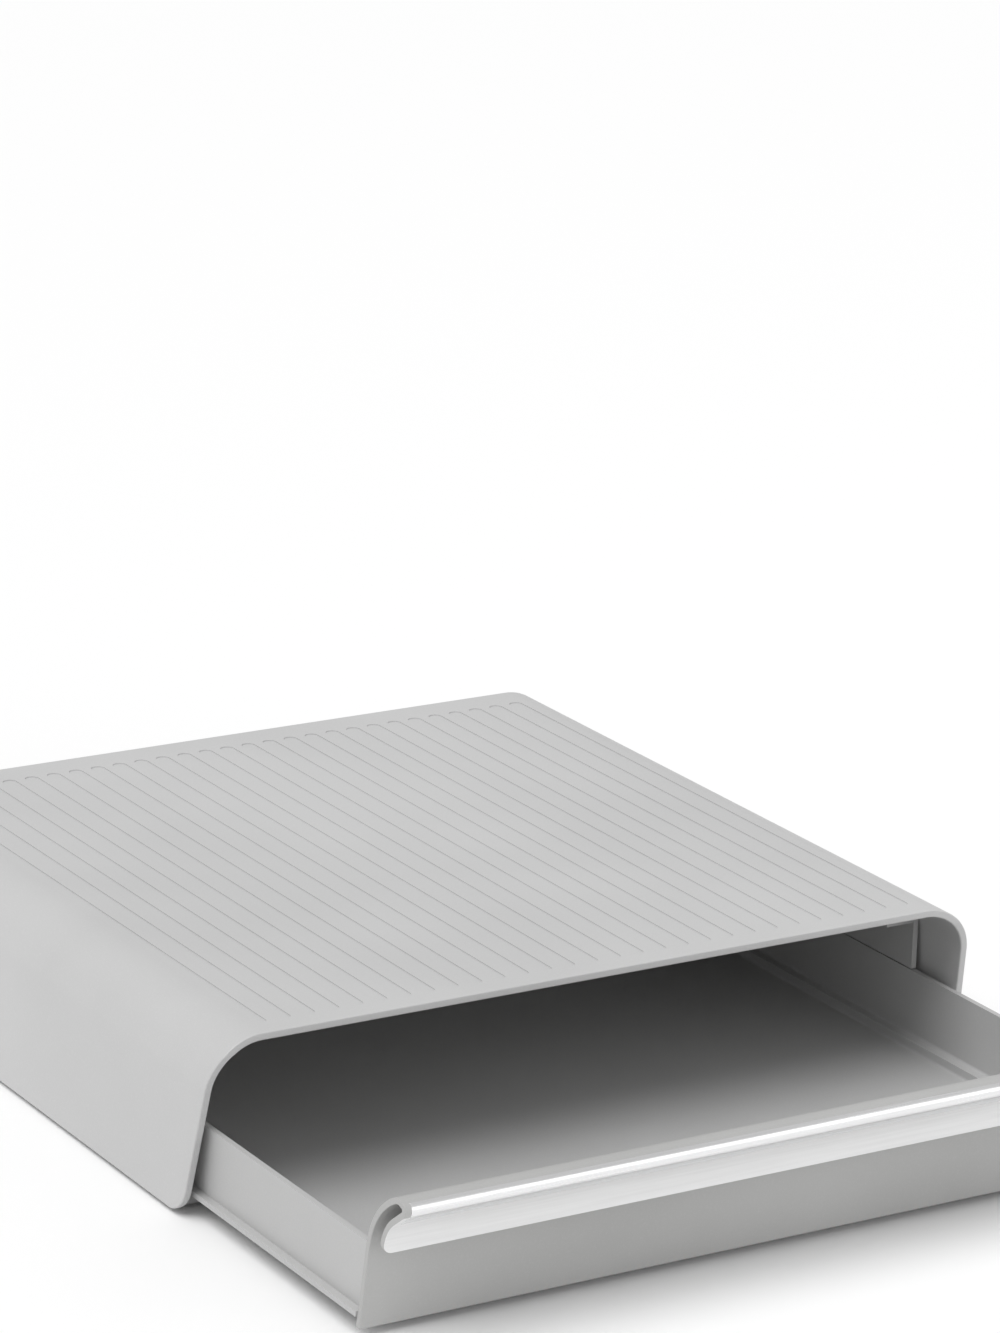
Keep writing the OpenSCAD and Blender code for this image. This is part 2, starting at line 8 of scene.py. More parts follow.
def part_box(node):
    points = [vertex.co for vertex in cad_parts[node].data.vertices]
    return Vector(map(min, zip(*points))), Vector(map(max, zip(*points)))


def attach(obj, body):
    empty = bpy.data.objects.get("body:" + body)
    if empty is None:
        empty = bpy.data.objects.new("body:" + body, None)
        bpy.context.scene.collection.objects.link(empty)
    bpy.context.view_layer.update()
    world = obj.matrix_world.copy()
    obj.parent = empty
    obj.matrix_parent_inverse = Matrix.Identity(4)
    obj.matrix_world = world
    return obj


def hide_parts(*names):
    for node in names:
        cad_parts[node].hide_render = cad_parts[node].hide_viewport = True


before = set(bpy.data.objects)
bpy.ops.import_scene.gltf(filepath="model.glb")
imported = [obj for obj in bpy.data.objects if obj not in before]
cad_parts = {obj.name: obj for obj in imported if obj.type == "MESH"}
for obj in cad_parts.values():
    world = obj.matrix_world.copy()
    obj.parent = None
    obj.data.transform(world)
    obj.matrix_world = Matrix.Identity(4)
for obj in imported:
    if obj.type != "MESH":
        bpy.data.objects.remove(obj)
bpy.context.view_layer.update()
print("stage: packed model loaded")

shellLow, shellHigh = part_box("shell")
trayLow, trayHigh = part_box("tray")
frontLow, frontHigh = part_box("drawer_front")
guideLow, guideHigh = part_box("guide_right")
runnerLow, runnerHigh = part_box("runner_right")


def mm(value):
    return value / 1000


def deg(value):
    return math.radians(value)


near = mm(0.1)           # how close to a place counts as there
overshoot = mm(5)        # how far a cutter runs past what it cuts
overlap = mm(1)          # how far a joined piece reaches into its carrier
foldAngle = deg(50)      # on bent and hollow pieces, only sharper edges are rounded


def selectOnly(*things):
    bpy.ops.object.select_all(action="DESELECT")
    for thing in things:
        thing.select_set(True)
    bpy.context.view_layer.objects.active = things[0]


# puts the place of a fresh primitive into its mesh, and names it
def settle(name):
    piece = bpy.context.object
    piece.name = name
    piece.data.name = name
    bpy.ops.object.transform_apply(location=True, rotation=True, scale=True)
    return piece


def addBox(name, low, high):
    low, high = Vector(low), Vector(high)
    bpy.ops.object.select_all(action="DESELECT")
    bpy.ops.mesh.primitive_cube_add(size=1, location=(low + high) / 2, scale=high - low)
    return settle(name)


def addRod(name, foot, direction, radius, length, sides=32):
    direction = Vector(direction).normalized()
    turn = direction.to_track_quat("Z", "Y").to_euler()
    bpy.ops.object.select_all(action="DESELECT")
    bpy.ops.mesh.primitive_cylinder_add(vertices=sides, radius=radius, depth=length,
                                        location=Vector(foot) + direction * length / 2, rotation=turn)
    return settle(name)


def startEdit(piece):
    selectOnly(piece)
    bpy.ops.object.mode_set(mode="EDIT")


def endEdit():
    bpy.ops.object.mode_set(mode="OBJECT")


def middle(item):
    if isinstance(item, bmesh.types.BMVert):
        return item.co
    return sum((v.co for v in item.verts), Vector()) / len(item.verts)


# selects the verts, edges or faces of the edited piece that pass a test
def pick(piece, kind, test):
    bpy.ops.mesh.select_mode(type={"verts": "VERT", "edges": "EDGE", "faces": "FACE"}[kind])
    bpy.ops.mesh.select_all(action="DESELECT")
    mesh = bmesh.from_edit_mesh(piece.data)
    for item in getattr(mesh, kind):
        if test(item):
            item.select_set(True)
    bmesh.update_edit_mesh(piece.data)


def modify(piece, kind, **settings):
    selectOnly(piece)
    modifier = piece.modifiers.new(kind.lower(), kind)
    for key, value in settings.items():
        setattr(modifier, key, value)
    bpy.ops.object.modifier_apply(modifier=modifier.name)


def combine(piece, tool, operation):
    modify(piece, "BOOLEAN", object=tool, operation=operation, solver="EXACT")
    bpy.data.objects.remove(tool)


def roundEdges(piece, radius, segments=3, angle=deg(30)):
    modify(piece, "BEVEL", width=radius, segments=segments, limit_method="ANGLE", angle_limit=angle,
           use_clamp_overlap=True)


def join(piece, others):
    selectOnly(piece, *others)
    bpy.ops.object.join()
    return piece


def smooth(piece, angle=deg(35)):
    selectOnly(piece)
    bpy.ops.object.shade_smooth_by_angle(angle=angle)
    modify(piece, "WEIGHTED_NORMAL", keep_sharp=True, weight=80)


# hands a finished piece to the frame: its body, the node it stands for and its finish
def handOver(piece, body, node, material):
    piece.data.materials.clear()
    piece.data.materials.append(material)
    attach(piece, body)
    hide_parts(node)


def newMaterial(name):
    material = bpy.data.materials.new(name)
    material.use_nodes = True
    return material, material.node_tree.nodes, material.node_tree.links


def addNoise(nodes, links, scale, detail=2.0, stretch=None):
    place = nodes.new("ShaderNodeTexCoord")
    noise = nodes.new("ShaderNodeTexNoise")
    noise.inputs["Scale"].default_value = scale
    noise.inputs["Detail"].default_value = detail
    if stretch is None:
        links.new(place.outputs["Object"], noise.inputs["Vector"])
    else:
        mapping = nodes.new("ShaderNodeMapping")
        mapping.inputs["Scale"].default_value = stretch
        links.new(place.outputs["Object"], mapping.inputs["Vector"])
        links.new(mapping.outputs["Vector"], noise.inputs["Vector"])
    return noise


def spread(nodes, links, source, low, high, fromLow=0.35, fromHigh=0.65):
    reach = nodes.new("ShaderNodeMapRange")
    reach.inputs["From Min"].default_value = fromLow
    reach.inputs["From Max"].default_value = fromHigh
    reach.inputs["To Min"].default_value = low
    reach.inputs["To Max"].default_value = high
    links.new(source, reach.inputs["Value"])
    return reach.outputs["Result"]


def blendColours(nodes, links, factor, first, second):
    mix = nodes.new("ShaderNodeMix")
    mix.data_type = "RGBA"
    links.new(factor, mix.inputs["Factor"])
    # sockets 6 and 7 are the two colours, and output 2 is the blended one
    for socket, value in ((mix.inputs[6], first), (mix.inputs[7], second)):
        if isinstance(value, bpy.types.NodeSocket):
            links.new(value, socket)
        else:
            socket.default_value = (*value, 1)
    return mix.outputs[2]


def addBump(nodes, links, height, depth):
    bump = nodes.new("ShaderNodeBump")
    bump.inputs["Distance"].default_value = depth
    bump.inputs["Strength"].default_value = 1
    links.new(height, bump.inputs["Height"])
    return bump.outputs["Normal"]


# satin moulded plastic: cloudy tone, fine speckle, spark-eroded grain
def mouldedPlastic(name, look):
    material, nodes, links = newMaterial(name)
    shader = nodes["Principled BSDF"]
    cloud = addNoise(nodes, links, look["cloudScale"], detail=3)
    speckle = addNoise(nodes, links, look["speckleScale"], detail=1)
    tone = blendColours(nodes, links, spread(nodes, links, cloud.outputs["Fac"], 0, 1),
                        look["dark"], look["light"])
    fleck = spread(nodes, links, speckle.outputs["Fac"], 0, look["fleck"], fromLow=0.5, fromHigh=0.75)
    links.new(blendColours(nodes, links, fleck, tone, look["fleckColour"]), shader.inputs["Base Color"])
    grain = addNoise(nodes, links, look["grainScale"])
    links.new(spread(nodes, links, grain.outputs["Fac"], *look["roughness"]), shader.inputs["Roughness"])
    links.new(addBump(nodes, links, grain.outputs["Fac"], look["grainDepth"]), shader.inputs["Normal"])
    shader.inputs["Specular IOR Level"].default_value = look["specular"]
    return material


shellLook = {
    "dark": (0.545, 0.545, 0.545),
    "light": (0.58, 0.58, 0.58),
    "cloudScale": 9,
    "speckleScale": 1500,
    "fleck": 0.12,
    "fleckColour": (0.75, 0.75, 0.75),
    "grainScale": 1300,
    "grainDepth": mm(0.02),
    "roughness": (0.42, 0.5),
    "specular": 0.5,
}
# the drawer front: the shell's finish in a darker grey, and that darker grey is painted shade over the whole
# front
frontShadedLook = {
    **shellLook,
    "dark": (0.43, 0.43, 0.424),
    "light": (0.46, 0.46, 0.454),
    "fleckColour": (0.6, 0.6, 0.6),
}
trayLook = {
    **shellLook,
    "dark": (0.495, 0.495, 0.493),
    "light": (0.52, 0.52, 0.518),
    "fleck": 0.15,
    "fleckColour": (0.66, 0.66, 0.66),
}
rubberLook = {
    **shellLook,
    "dark": (0.018, 0.018, 0.019),
    "light": (0.03, 0.03, 0.031),
    "fleckColour": (0.06, 0.06, 0.06),
    "roughness": (0.7, 0.85),
    "grainDepth": mm(0.04),
    "specular": 0.35,
}
shellPlastic = mouldedPlastic("satin_shell_plastic", shellLook)
# the drawer front's plastic is darker than the shell's by painted shade
frontShadedPlastic = mouldedPlastic("satin_front_plastic_with_painted_shade", frontShadedLook)
trayPlastic = mouldedPlastic("satin_tray_plastic", trayLook)
rubber = mouldedPlastic("black_rubber", rubberLook)


# bright metal foil or plated steel, with fine drawn lines along its length
def brightMetal(name, look):
    material, nodes, links = newMaterial(name)
    shader = nodes["Principled BSDF"]
    lines = addNoise(nodes, links, look["lineScale"], stretch=look["lineStretch"])
    tone = blendColours(nodes, links, spread(nodes, links, lines.outputs["Fac"], 0, 1),
                        look["dark"], look["light"])
    links.new(tone, shader.inputs["Base Color"])
    links.new(spread(nodes, links, lines.outputs["Fac"], *look["roughness"]), shader.inputs["Roughness"])
    links.new(addBump(nodes, links, lines.outputs["Fac"], look["lineDepth"]), shader.inputs["Normal"])
    shader.inputs["Metallic"].default_value = look["metallic"]
    return material


trimLook = {
    "dark": (0.82, 0.82, 0.825),
    "light": (0.86, 0.86, 0.865),
    "lineScale": 60,
    "lineStretch": (0.3, 12, 12),
    "lineDepth": mm(0.001),
    "roughness": (0.2, 0.28),
    "metallic": 0.8,
}
screwLook = {
    "dark": (0.5, 0.5, 0.51),
    "light": (0.62, 0.62, 0.63),
    "lineScale": 900,
    "lineStretch": (1, 1, 1),
    "lineDepth": mm(0.02),
    "roughness": (0.25, 0.4),
    "metallic": 1,
}
trimMetal = brightMetal("bright_foil", trimLook)
screwSteel = brightMetal("zinc_steel", screwLook)
print("stage: finishes")


# case: the shell and the panel behind it share one arched outline
case = {
    "wall": mm(3),
    "cornerRadius": mm(22),
    "flare": deg(4.7),
    "rake": deg(11.2),
    "brow": mm(6.5),
    "toeRadius": mm(12),
    "toeSteps": 12,
    "edgeRound": mm(0.6),
    "cornerSteps": 24,
}


def caseHalfWidth(z, inset):
    return shellHigh.x - (z - shellLow.z) * math.tan(case["flare"]) - inset / math.cos(case["flare"])


def archBlock(name, inset, frontY, rearY, lowZ):
    topZ = shellHigh.z - inset
    foot, head = caseHalfWidth(lowZ, inset), caseHalfWidth(topZ, inset)
    block = addBox(name, (-foot, frontY, lowZ), (foot, rearY, topZ))
    startEdit(block)
    pick(block, "verts", lambda v: v.co.z > topZ - near)
    bpy.ops.transform.resize(value=(head / foot, 1, 1))
    pick(block, "edges", lambda e: middle(e).z > topZ - near and abs(middle(e).x) > head / 2)
    radius = case["cornerRadius"] - inset
    bpy.ops.mesh.bevel(offset=radius * math.tan((deg(90) - case["flare"]) / 2),
                       segments=case["cornerSteps"], profile=0.5, affect="EDGES")
    endEdit()
    return block


channels = {
    "count": 29,
    "pitch": mm(10.06),
    "width": mm(5.9),
    "deep": mm(0.5),
    "cutterHigh": mm(2),
    "frontMargin": mm(9),
    "rearMargin": mm(14),
    "edgeRound": mm(0.12),
    "edgeSteps": 2,
    "sides": 32,
    "levelWithin": mm(0.01),
    "steepNormal": 0.3,
}


def channelCutters():
    radius = channels["width"] / 2
    firstX = -(channels["count"] - 1) / 2 * channels["pitch"]
    frontY = shellLow.y + channels["frontMargin"] + radius
    rearY = shellHigh.y - channels["rearMargin"] - radius
    cutter = addRod("channel_cutter", (firstX, frontY, shellHigh.z - channels["deep"]), (0, 0, 1),
                    radius, channels["cutterHigh"], channels["sides"])
    startEdit(cutter)
    bpy.ops.mesh.select_all(action="SELECT")
    bpy.ops.transform.rotate(value=deg(180) / channels["sides"], orient_axis="Z",
                             center_override=(firstX, frontY, 0))
    pick(cutter, "verts", lambda v: v.co.y > frontY)
    bpy.ops.transform.translate(value=(0, rearY - frontY, 0))
    endEdit()
    modify(cutter, "ARRAY", count=channels["count"], use_relative_offset=False,
           use_constant_offset=True, constant_offset_displace=(channels["pitch"], 0, 0))
    return cutter


inside = {
    "ribCount": 5,
    "ribPitch": mm(62),
    "ribThick": mm(1.8),
    "ribDeep": mm(7),
    "ribInset": mm(24),
    "ribRound": mm(0.4),
    "bossRadius": mm(3.5),
    "bossInset": mm(1),
    "guideThick": mm(2.2),
    "screwInset": mm(22.5),
    "lugX": mm(85),
    "lugHalf": mm(6),
    "lugInset": mm(4.5),
    "catchCount": 4,
    "catchLength": mm(14),
    "catchProud": mm(1.3),
    "catchGap": mm(0.1),
}


# the screws under the top: three along each guide, and one at each lug of the rear panel
def bossPlaces():
    x = guideLow.x + inside["bossRadius"] + inside["bossInset"]
    inset = inside["screwInset"]
    ys = [guideLow.y + inset, (guideLow.y + guideHigh.y) / 2, guideHigh.y - inset]
    places = [(side * x, y) for side in (-1, 1) for y in ys]
    return places + [(side * inside["lugX"], guideHigh.y - inside["lugInset"]) for side in (-1, 1)]


# wedges on the walls that snap over the runners
def makeCatches():
    lowZ = runnerHigh.z + inside["catchGap"]
    proud, half = inside["catchProud"], inside["catchLength"] / 2
    inner = caseHalfWidth(lowZ, case["wall"])
    pitch = (runnerHigh.y - runnerLow.y) / inside["catchCount"]
    made = []
    for side in (-1, 1):
        for i in range(inside["catchCount"]):
            y = runnerLow.y + (i + 0.5) * pitch
            wedge = addBox("catch", (inner - proud, y - half, lowZ),
                           (inner + overlap, y + half, lowZ + 2 * proud))
            startEdit(wedge)
            pick(wedge, "verts", lambda v: v.co.x < inner and v.co.z > lowZ + near)
            bpy.ops.transform.translate(value=(proud, 0, 0))
            if side < 0:
                bpy.ops.mesh.select_all(action="SELECT")
                bpy.ops.transform.rotate(value=deg(180), orient_axis="Z", center_override=(0, y, 0))
            endEdit()
            made.append(wedge)
    return made


def makeShell():
    shell = archBlock("shell_case", 0, shellLow.y, shellHigh.y, shellLow.z)
    hollow = archBlock("hollow", case["wall"], shellLow.y - overshoot, shellHigh.y + overshoot,
                       shellLow.z - overshoot)
    combine(shell, hollow, "DIFFERENCE")

    # the front edge leans back below the brow, and its lower corners are rounded
    browZ = shellHigh.z - case["brow"]
    toeY = shellLow.y + (browZ - shellLow.z) * math.tan(case["rake"])
    startEdit(shell)
    bpy.ops.mesh.select_all(action="SELECT")
    bpy.ops.mesh.bisect(plane_co=(0, shellLow.y, browZ),
                        plane_no=(0, -math.cos(case["rake"]), -math.sin(case["rake"])),
                        use_fill=True, clear_outer=True)
    pick(shell, "edges", lambda e: middle(e).z < shellLow.z + near and abs(middle(e).y - toeY) < near)
    bpy.ops.mesh.bevel(offset=case["toeRadius"] * math.tan((deg(90) - case["rake"]) / 2),
                       segments=case["toeSteps"], profile=0.5, affect="EDGES")
    endEdit()
    roundEdges(shell, case["edgeRound"])
    print("stage: wall of the shell")

    combine(shell, channelCutters(), "DIFFERENCE")
    topZ = shellHigh.z
    startEdit(shell)
    pick(shell, "edges", lambda e: all(abs(v.co.z - topZ) < channels["levelWithin"] for v in e.verts)
         and any(abs(f.normal.z) < channels["steepNormal"] for f in e.link_faces))
    bpy.ops.mesh.bevel(offset=channels["edgeRound"], segments=channels["edgeSteps"], profile=0.5,
                       affect="EDGES")
    endEdit()
    print("stage: channels of the top")

    # stiffening ribs, screw bosses and catches
    underZ = shellHigh.z - case["wall"]
    half = inside["ribThick"] / 2
    extras = makeCatches()
    for i in range(inside["ribCount"]):
        x = (i - (inside["ribCount"] - 1) / 2) * inside["ribPitch"]
        rib = addBox("rib", (x - half, shellLow.y + inside["ribInset"], underZ - inside["ribDeep"]),
                     (x + half, shellHigh.y - inside["ribInset"], underZ + overlap))
        roundEdges(rib, inside["ribRound"], 2)
        extras.append(rib)
    bossLength = underZ + overlap - guideHigh.z
    bosses = [addRod("boss", (x, y, guideHigh.z), (0, 0, 1), inside["bossRadius"], bossLength)
              for x, y in bossPlaces()]
    bosses = join(bosses[0], bosses[1:])
    limit = archBlock("limit", case["wall"] / 2, shellLow.y, shellHigh.y, guideLow.z)
    combine(bosses, limit, "INTERSECT")
    join(shell, extras + [bosses])
    smooth(shell)
    handOver(shell, "case", "shell", shellPlastic)


panel = {
    "thick": mm(2.5),
    "rimDeep": mm(4),
    "rimThick": mm(2),
    "rimAboveTray": mm(0.5),
    "gap": mm(0.1),
    "edgeRound": mm(0.35),
}


def makeRearPanel():
    inset = case["wall"] + panel["gap"]
    faceY = shellHigh.y - panel["thick"]
    plate = archBlock("rear_plate", inset, faceY, shellHigh.y, shellLow.z + panel["gap"])
    roundEdges(plate, panel["edgeRound"], 2)
    rimZ = trayHigh.z + panel["rimAboveTray"]
    rim = archBlock("rim", inset, faceY - panel["rimDeep"], shellHigh.y - panel["thick"] / 2, rimZ)
    hollow = archBlock("hollow", inset + panel["rimThick"], faceY - 2 * panel["rimDeep"], shellHigh.y,
                       rimZ - overshoot)
    combine(rim, hollow, "DIFFERENCE")
    extras = [rim]
    for x, y in bossPlaces()[-2:]:
        half = inside["lugHalf"]
        extras.append(addBox("lug", (x - half, y - half, guideHigh.z - inside["guideThick"]),
                             (x + half, shellHigh.y - overlap, guideHigh.z)))
    join(plate, extras)
    smooth(plate)
    handOver(plate, "case", "rear_panel", shellPlastic)


makeShell()
makeRearPanel()
print("stage: case")


# drawer front: one sheet bent from the panel's foot up over the crest and the nose, down to the lip
front = {
    "thick": mm(2.4),
    "trayLength": mm(299),
    "lean": deg(6.4),
    "bendZ": mm(32.4),
    "bendRadius": mm(32.2),
    "bendSteps": 24,
    "hookLean": deg(61),
    "crestGap": mm(1),
    "crestRadius": mm(4.2),
    "crestSteps": 12,
    "crestLean": deg(107),
    "noseRadius": mm(0.8),
    "noseSteps": 20,
    "lipTopLean": deg(53),
    "lipStraight": mm(8),
    "lipRadius": mm(19.6),
    "lipSteps": 14,
    "lipEndLean": deg(1.3),
    "lipCorner": mm(4),
    "lipCornerTurn": deg(15),
    "lipCornerRows": 15,
    "taper": deg(2.8),
    "edgeRound": mm(0.9),
    "edgeSteps": 4,
    "bossRadius": mm(3.5),
    "bossLength": mm(2.1),
    "screwCount": 4,
    "screwPitch": mm(90),
    "screwZ": mm(21),
}


# directions in the side view, for a lean forward of upright
def alongLean(angle):
    return Vector((0, -math.sin(angle), math.cos(angle)))


def facingLean(angle):
    return Vector((0, -math.cos(angle), -math.sin(angle)))


frontFoot = Vector((0, trayHigh.y - front["trayLength"] - front["thick"], frontLow.z))
bendFrom = frontFoot + alongLean(front["lean"]) * (front["bendZ"] - frontFoot.z) / math.cos(front["lean"])
bendMiddle = bendFrom + facingLean(front["lean"]) * front["bendRadius"]
bendTo = bendMiddle - facingLean(front["hookLean"]) * front["bendRadius"]
crestFrom = bendTo + alongLean(front["hookLean"]) * front["crestGap"]
crestMiddle = crestFrom + facingLean(front["hookLean"]) * front["crestRadius"]
crestTo = crestMiddle - facingLean(front["crestLean"]) * front["crestRadius"]
noseFrom = crestTo + alongLean(front["crestLean"]) * front["crestGap"]
noseMiddle = noseFrom + facingLean(front["crestLean"]) * front["noseRadius"]
noseTo = noseMiddle + facingLean(front["lipTopLean"]) * front["noseRadius"]
lipFrom = noseTo - alongLean(front["lipTopLean"]) * front["lipStraight"]
lipMiddle = lipFrom + facingLean(front["lipTopLean"]) * front["lipRadius"]
pullHalf = frontHigh.x - (front["bendZ"] - frontFoot.z) * math.tan(front["taper"])


# a plane primitive cut down to its front edge, from which a sheet is pulled and swept
def startSheet(name, place, width):
    bpy.ops.object.select_all(action="DESELECT")
    bpy.ops.mesh.primitive_plane_add(size=width, location=place + Vector((0, width / 2, 0)))
    sheet = settle(name)
    startEdit(sheet)
    pick(sheet, "verts", lambda v: v.co.y > place.y + width / 2)
    bpy.ops.mesh.delete(type="VERT")
    bpy.ops.mesh.select_all(action="SELECT")
    return sheet


def pull(move):
    bpy.ops.mesh.extrude_region_move(TRANSFORM_OT_translate={"value": move})


# turns the edge at the end of the sheet about a line along X; spin counts angles the other way
def sweep(centre, angle, steps):
    bpy.ops.mesh.spin(steps=steps, angle=-angle, center=centre, axis=(1, 0, 0), use_auto_merge=False)


# places of the screws that hold the front, on the inner face of its plate
def frontScrewPlaces():
    z = front["screwZ"]
    y = frontFoot.y - (z - frontFoot.z) * math.tan(front["lean"]) + front["thick"] / math.cos(front["lean"])
    middleOf = (front["screwCount"] - 1) / 2
    return [Vector(((i - middleOf) * front["screwPitch"], y, z)) for i in range(front["screwCount"])]


lipCoat = {
    "reach": mm(19.2),
    "edgeFacing": 0.6,
    "dark": (0.78, 0.78, 0.78),
    "light": (0.82, 0.82, 0.82),
    "metallic": 0.35,
    "roughness": 0.45,
}


# marks the outer face of the lip, below the nose, for its silver coat
def markCoat(piece):
    marks = piece.data.attributes.new("coat", "FLOAT", "FACE")
    for face in piece.data.polygons:
        offset = face.center - lipMiddle
        offset.x = 0
        if (offset.length < lipCoat["reach"] and face.normal.dot(offset) < 0
                and abs(face.normal.x) < lipCoat["edgeFacing"]):
            marks.data[face.index].value = 1


def addCoat(material):
    nodes, links = material.node_tree.nodes, material.node_tree.links
    shader = nodes["Principled BSDF"]
    mark = nodes.new("ShaderNodeAttribute")
    mark.attribute_name = "coat"
    coated = mark.outputs["Fac"]
    lines = addNoise(nodes, links, trimLook["lineScale"], stretch=trimLook["lineStretch"])
    silver = blendColours(nodes, links, spread(nodes, links, lines.outputs["Fac"], 0, 1),
                          lipCoat["dark"], lipCoat["light"])
    plain = shader.inputs["Base Color"].links[0].from_socket
    links.new(blendColours(nodes, links, coated, plain, silver), shader.inputs["Base Color"])
    metal = spread(nodes, links, coated, 0, lipCoat["metallic"], fromLow=0, fromHigh=1)
    links.new(metal, shader.inputs["Metallic"])
    rough = nodes.new("ShaderNodeMix")        # sockets 2 and 3 are its two plain values
    rough.inputs[3].default_value = lipCoat["roughness"]
    links.new(coated, rough.inputs["Factor"])
    links.new(shader.inputs["Roughness"].links[0].from_socket, rough.inputs[2])
    links.new(rough.outputs[0], shader.inputs["Roughness"])


def makeDrawerFront():
    sheet = startSheet("drawer_face", frontFoot, 2 * frontHigh.x)
    pull(bendFrom - frontFoot)
    bpy.ops.transform.resize(value=(pullHalf / frontHigh.x, 1, 1))
    sweep(bendMiddle, front["hookLean"] - front["lean"], front["bendSteps"])
    pull(alongLean(front["hookLean"]) * front["crestGap"])
    sweep(crestMiddle, front["crestLean"] - front["hookLean"], front["crestSteps"])
    pull(alongLean(front["crestLean"]) * front["crestGap"])
    sweep(noseMiddle, deg(180) + front["lipTopLean"] - front["crestLean"], front["noseSteps"])
    pull(-alongLean(front["lipTopLean"]) * front["lipStraight"])
    cornerLean = front["lipEndLean"] + front["lipCornerTurn"]
    sweep(lipMiddle, cornerLean - front["lipTopLean"], front["lipSteps"])
    rows = front["lipCornerRows"]
    sweep(lipMiddle, front["lipEndLean"] - cornerLean, rows)

    # the lip's lower corners are rounded row by row
    radius, lipRadius = front["lipCorner"], front["lipRadius"]
    rowStep = front["lipCornerTurn"] * lipRadius / rows
    for row in range(int(radius / rowStep) + 1):
        rise = radius - row * rowStep
        lean = front["lipEndLean"] + row * rowStep / lipRadius
        place = lipMiddle - facingLean(lean) * lipRadius
        pick(sheet, "verts", lambda v: abs(v.co.y - place.y) + abs(v.co.z - place.z) < rowStep / 4)
        inset = radius - math.sqrt(radius ** 2 - rise ** 2)
        bpy.ops.transform.resize(value=(1 - inset / pullHalf, 1, 1))
    bpy.ops.mesh.select_all(action="SELECT")
    bpy.ops.mesh.normals_make_consistent(inside=False)
    endEdit()
    modify(sheet, "SOLIDIFY", thickness=front["thick"], offset=1, use_even_offset=True)
    roundEdges(sheet, front["edgeRound"], front["edgeSteps"], foldAngle)
    back = -facingLean(front["lean"])
    bosses = [addRod("boss", place - back * front["thick"] / 2, back, front["bossRadius"],
                     front["thick"] / 2 + front["bossLength"]) for place in frontScrewPlaces()]
    join(sheet, bosses)
    smooth(sheet)
    markCoat(sheet)
    addCoat(frontShadedPlastic)
    handOver(sheet, "drawer", "drawer_front", frontShadedPlastic)


# bright strip round the nose and down the straight below it
trim = {
    "end": mm(2.5),
    "proud": mm(0.2),
    "thick": mm(1),
    "rearAngle": deg(122),
    "low": mm(0.5),
    "edgeRound": mm(0.12),
    "steps": 32,
}


def makeTrim():
    radius = front["noseRadius"] + front["thick"] + trim["proud"]
    rear = noseMiddle - facingLean(trim["rearAngle"]) * radius
    sheet = startSheet("pull_strip", rear, 2 * (pullHalf - trim["end"]))
    sweep(noseMiddle, deg(180) + front["lipTopLean"] - trim["rearAngle"], trim["steps"])
    pull(-alongLean(front["lipTopLean"]) * (front["lipStraight"] - trim["low"]))
    bpy.ops.mesh.select_all(action="SELECT")
    bpy.ops.mesh.normals_make_consistent(inside=False)
    endEdit()
    modify(sheet, "SOLIDIFY", thickness=trim["thick"], offset=-1, use_even_offset=True)
    roundEdges(sheet, trim["edgeRound"], 2, foldAngle)
    smooth(sheet)
    handOver(sheet, "drawer", "pull_trim", trimMetal)


makeDrawerFront()
makeTrim()
print("stage: drawer front")


tray = {
    "thick": mm(2.2),
    "ledgeZ": mm(7.5),
    "flange": mm(3.1),
    "panSide": mm(4.395),
    "corner": mm(8),
    "cornerSteps": 10,
    "pastFront": mm(15),
    "edgeRound": mm(0.55),
    "fillet": mm(1.2),
    "step": mm(0.05),
    "stopLength": mm(6),
    "stopHigh": mm(8),
    "stopProud": mm(1.5),
    "stopBelowRim": mm(1),
    "stopRound": mm(0.3),
}


# a block with rounded rear corners, cut at the front to the lean of the drawer front
def leanBlock(name, half, lowZ, highZ, inset, corner):
    rearY = trayHigh.y - inset
    block = addBox(name, (-half, frontFoot.y - tray["pastFront"], lowZ), (half, rearY, highZ))
    startEdit(block)
    if corner > 0:
        pick(block, "edges", lambda e: middle(e).y > rearY - near and abs(middle(e).x) > half / 2)
        bpy.ops.mesh.bevel(offset=corner, segments=tray["cornerSteps"], profile=0.5, affect="EDGES")
    bpy.ops.mesh.select_all(action="SELECT")
    normal = facingLean(front["lean"])
    bpy.ops.mesh.bisect(plane_co=frontFoot - normal * (front["thick"] + inset), plane_no=normal,
                        use_fill=True, clear_outer=True)
    endEdit()
    return block


